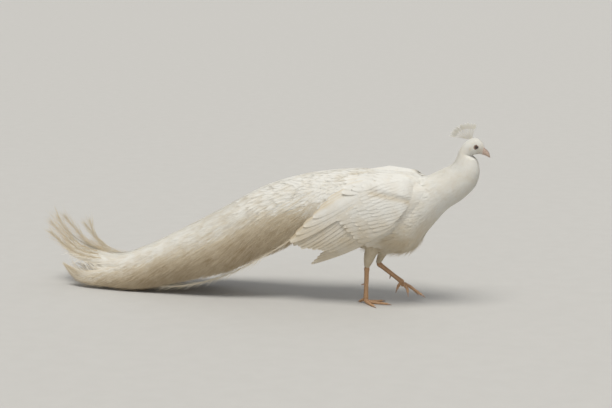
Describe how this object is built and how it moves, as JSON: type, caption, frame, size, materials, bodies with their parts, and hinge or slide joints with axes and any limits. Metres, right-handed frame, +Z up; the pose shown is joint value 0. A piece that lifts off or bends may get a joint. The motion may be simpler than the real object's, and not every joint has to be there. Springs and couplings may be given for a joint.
{
  "type": "white peafowl",
  "caption": "Life-size white peafowl cock walking with its head low, one foot raised, wings folded and its long train trailing to the floor behind",
  "frame": {"origin": "on the floor under the middle of the bird's bounding box", "axes": "+X forwards, from the tip of the train to the bill; +Y the bird's left; +Z up"},
  "size_m": [1.7138, 0.285, 0.676],
  "materials": {
    "feather": "soft creamy white plumage",
    "face": "short white plumage and pale bare skin",
    "leg_skin": "scaly tan skin",
    "bill_horn": "smooth pinkish horn",
    "claw_horn": "smooth tan horn",
    "eye": "wet dark brown"
  },
  "bodies": {
    "root": {"bill_lower": "bill_horn", "bill_upper": "bill_horn", "claw_left_hind": "claw_horn", "claw_left_inner": "claw_horn", "claw_left_middle": "claw_horn", "claw_left_outer": "claw_horn", "claw_right_hind": "claw_horn", "claw_right_inner": "claw_horn", "claw_right_middle": "claw_horn", "claw_right_outer": "claw_horn", "crest": "feather", "eye_left": "eye", "eye_right": "eye", "foot_left": "leg_skin", "foot_right": "leg_skin", "head": "face", "neck": "feather", "shank_left": "leg_skin", "shank_right": "leg_skin", "spur_left": "claw_horn", "spur_right": "claw_horn", "tail": "feather", "thigh_left": "feather", "thigh_right": "feather", "torso": "feather", "train": "feather", "wing_left": "feather", "wing_right": "feather"}
  },
  "joints": []
}
